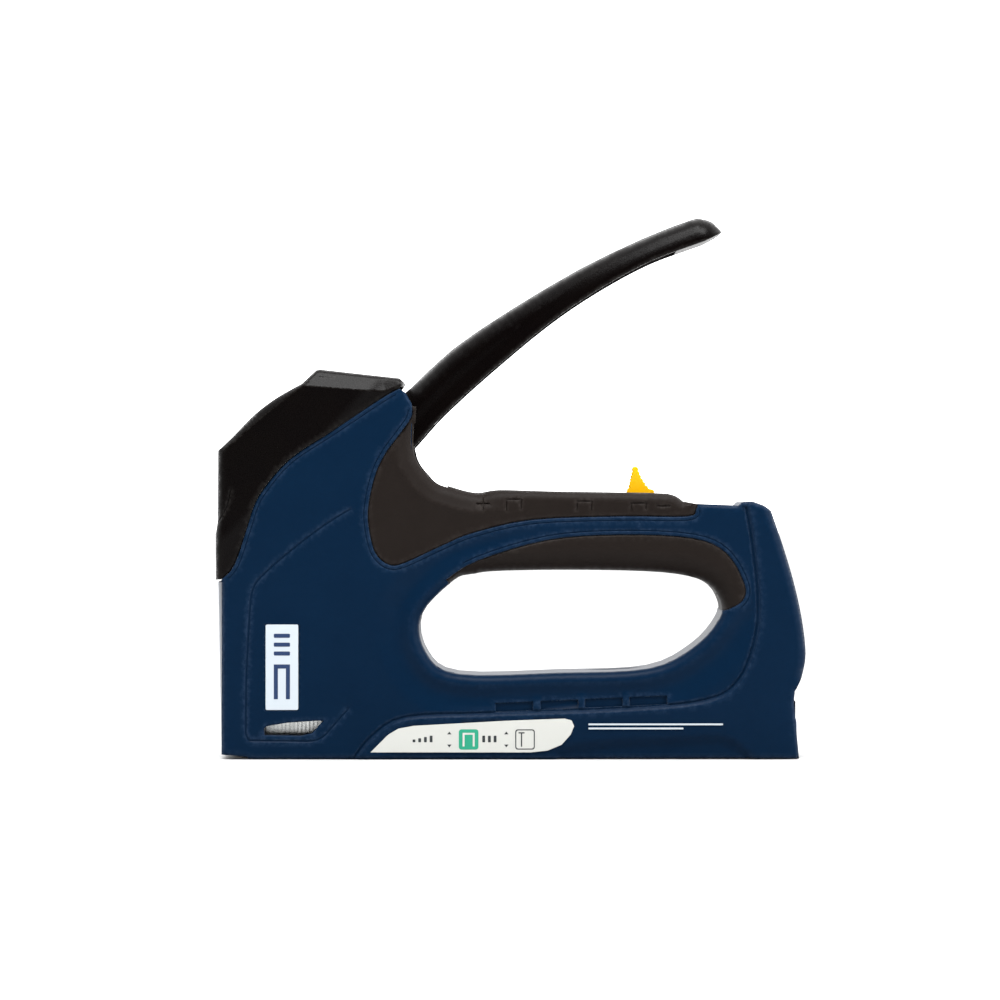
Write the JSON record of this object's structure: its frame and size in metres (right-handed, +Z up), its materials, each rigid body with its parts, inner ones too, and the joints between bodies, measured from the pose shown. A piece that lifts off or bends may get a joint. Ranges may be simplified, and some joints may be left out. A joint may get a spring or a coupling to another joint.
{
  "type": "staple gun",
  "caption": "Hand staple gun with a squeeze lever, leaf-spring hammer drive, sliding force adjuster and rear-loading staple magazine.",
  "frame": {"origin": "centre of the bounding box at the level of the flat base", "axes": "+X from the nose to the rear end, +Y across the width towards the screw side, +Z up from the base towards the lever"},
  "size_m": [0.1868, 0.036, 0.1716],
  "materials": {
    "blue_cast": "satin powder coat",
    "black_plastic": "fine satin moulding",
    "blue_plastic": "satin moulding",
    "soft_grip": "matt soft-touch",
    "yellow_plastic": "satin moulding",
    "pale_label": "satin film",
    "white_badge": "satin film",
    "plated_steel": "zinc plated",
    "bright_steel": "ground",
    "spring_steel": "tempered",
    "black_steel": "blackened",
    "staple_wire": "galvanised wire",
    "rubber_buffer": "matt"
  },
  "bodies": {
    "housing": {"body_left": "blue_cast", "body_right": "blue_cast", "head_cap": "black_plastic", "nose_plate": "plated_steel", "upper_grip_left": "soft_grip", "upper_grip_right": "soft_grip", "lower_grip_left": "soft_grip", "lower_grip_right": "soft_grip", "label_left": "pale_label", "label_right": "pale_label", "badge_left": "white_badge", "badge_right": "white_badge", "housing_screws": "black_steel", "lever_pin": "bright_steel", "lever_spring": "spring_steel", "main_leaf": "spring_steel", "helper_leaf": "spring_steel", "leaf_clamp": "plated_steel", "buffer": "rubber_buffer"},
    "squeeze_lever": {"lever": "black_plastic", "lift_arm": "plated_steel", "lever_rivet": "bright_steel", "roller_pin": "bright_steel"},
    "roller": {"lift_roller": "bright_steel"},
    "hammer_set": {"hammer": "plated_steel", "driver_blade": "bright_steel", "blade_rivets": "bright_steel"},
    "adjuster": {"adjuster_thumb": "yellow_plastic", "fulcrum_shoe": "plated_steel", "detent_spring": "spring_steel"},
    "magazine": {"magazine_rail": "plated_steel", "magazine_end": "black_plastic", "guide_rod": "bright_steel", "staple_stick": "staple_wire", "pusher_spring": "spring_steel", "catch_spring": "spring_steel"},
    "staple_pusher": {"pusher": "plated_steel"},
    "catch": {"catch_button": "blue_plastic"}
  },
  "joints": [
    {"name": "lever_pivot", "type": "hinge", "parent": "housing", "child": "squeeze_lever", "pos_m": [-0.055, 0, 0.093], "axis": [0, 1, 0], "range_deg": [0, 34], "stiffness_Nm_per_rad": 0.5, "springref_deg": -20.05, "deforming": ["lever_spring"]},
    {"name": "roller_spin", "type": "hinge", "parent": "squeeze_lever", "child": "roller", "pos_m": [-0.0793, 0, 0.07598], "axis": [0, 1, 0], "continuous": true},
    {"name": "hammer_slide", "type": "slide", "parent": "housing", "child": "hammer_set", "axis": [0, 0, 1], "range_m": [0, 0.0165], "deforming": ["main_leaf", "helper_leaf"]},
    {"name": "adjuster_slide", "type": "slide", "parent": "housing", "child": "adjuster", "axis": [-1, 0, 0], "range_m": [0, 0.039], "deforming": ["detent_spring"]},
    {"name": "magazine_slide", "type": "slide", "parent": "housing", "child": "magazine", "axis": [1, 0, 0], "range_m": [0, 0.09]},
    {"name": "pusher_slide", "type": "slide", "parent": "magazine", "child": "staple_pusher", "axis": [1, 0, 0], "range_m": [0, 0.055], "stiffness_N_per_m": 20, "springref_m": -0.05, "deforming": ["pusher_spring"]},
    {"name": "catch_press", "type": "slide", "parent": "magazine", "child": "catch", "axis": [-1, 0, 0], "range_m": [0, 0.002], "stiffness_N_per_m": 300, "springref_m": -0.003, "deforming": ["catch_spring"]}
  ],
  "couplings": [
    {"joint": "hammer_slide", "follows": "lever_pivot", "m_per_rad": 0.0278}
  ]
}
